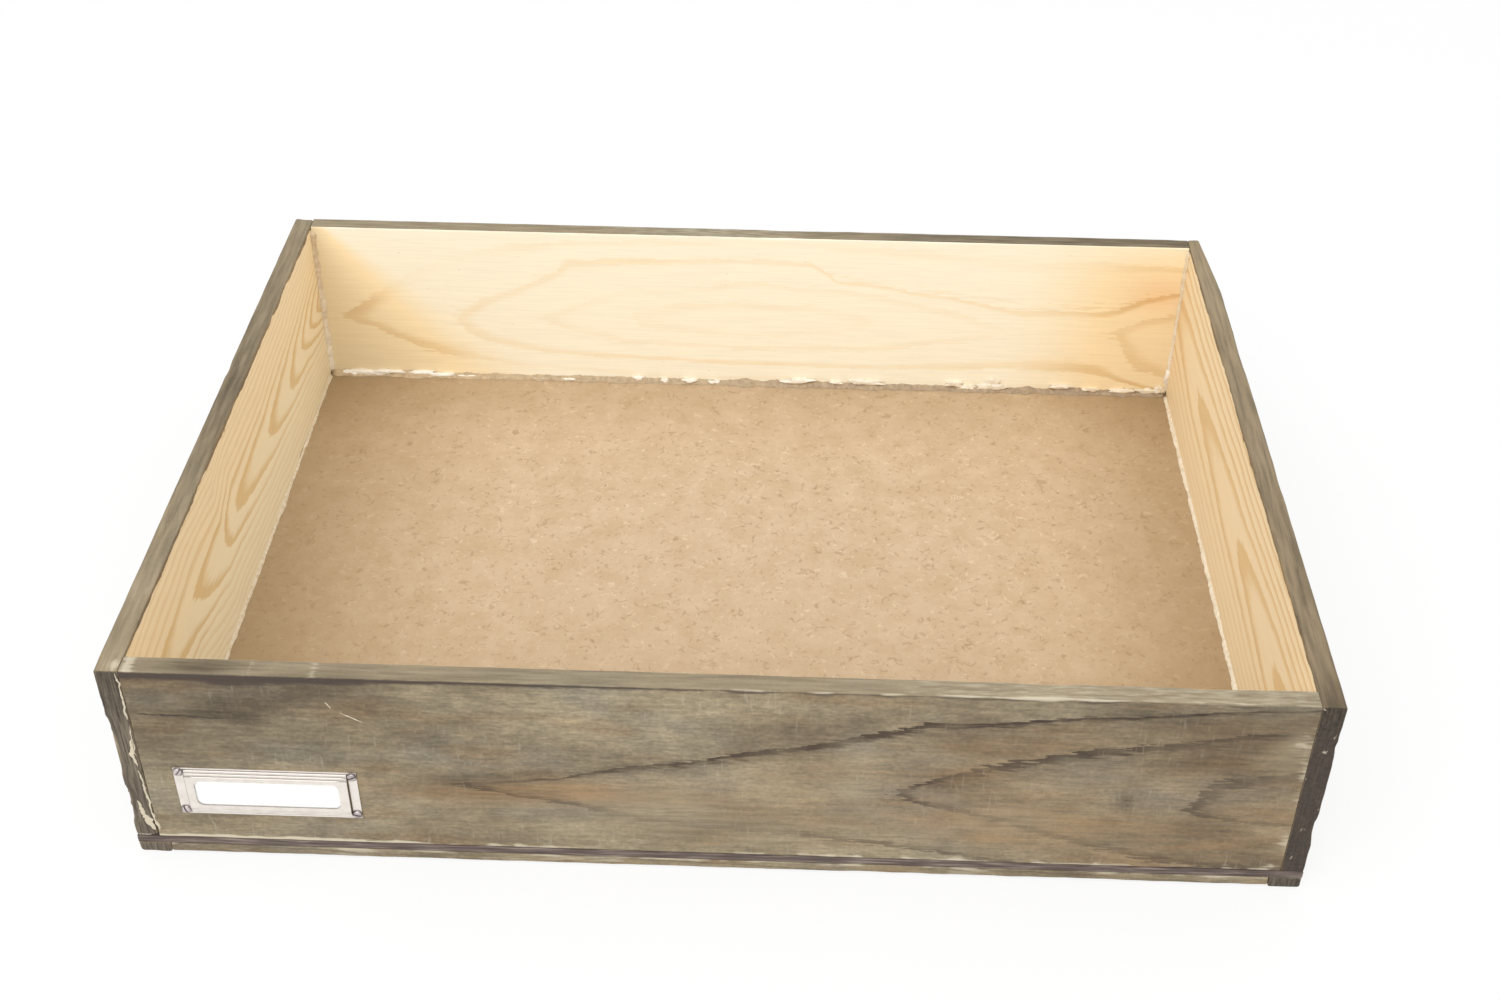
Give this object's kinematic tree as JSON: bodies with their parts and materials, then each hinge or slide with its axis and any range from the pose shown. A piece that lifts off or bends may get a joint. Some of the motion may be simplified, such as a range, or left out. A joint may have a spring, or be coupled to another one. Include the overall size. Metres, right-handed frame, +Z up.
{
  "type": "wooden drawer tray",
  "caption": "Shallow open wooden drawer tray, stained outside and bare inside, with a hardboard bottom on base strips and a pressed metal label holder whose card slides out.",
  "frame": {"origin": "middle of the boards' footprint, on the plane that the runners stand on", "axes": "+X to the right along the front, +Y from the front to the back, +Z up"},
  "size_m": [0.5, 0.3701, 0.106],
  "materials": {
    "stained_pine": "pine, worn grey-brown stain outside and on the rims, bare inside",
    "hardboard": "smooth-faced tan hardboard, dark stained edge",
    "label_metal": "bright plated pressed sheet, slightly dulled",
    "card": "white card, blank",
    "nail_steel": "dulled wire-nail steel",
    "dried_glue": "dried white wood glue, dirty in places"
  },
  "bodies": {
    "tray": {"front_board": "stained_pine", "back_board": "stained_pine", "left_side_board": "stained_pine", "right_side_board": "stained_pine", "left_runner": "stained_pine", "right_runner": "stained_pine", "front_base_strip": "stained_pine", "back_base_strip": "stained_pine", "bottom_panel": "hardboard", "label_frame": "label_metal", "label_screws": "label_metal", "front_left_corner_nails": "nail_steel", "front_right_corner_nails": "nail_steel", "back_left_corner_nails": "nail_steel", "back_right_corner_nails": "nail_steel", "left_runner_nails": "nail_steel", "right_runner_nails": "nail_steel", "front_strip_nails": "nail_steel", "back_strip_nails": "nail_steel", "front_floor_glue": "dried_glue", "back_floor_glue": "dried_glue", "left_floor_glue": "dried_glue", "right_floor_glue": "dried_glue", "front_left_corner_glue": "dried_glue", "front_right_corner_glue": "dried_glue", "back_left_corner_glue": "dried_glue", "back_right_corner_glue": "dried_glue"},
    "card": {"label_card": "card"}
  },
  "joints": [
    {"name": "card_slide", "type": "slide", "parent": "tray", "child": "card", "axis": [1, 0, 0], "range_m": [0, 0.075]}
  ]
}
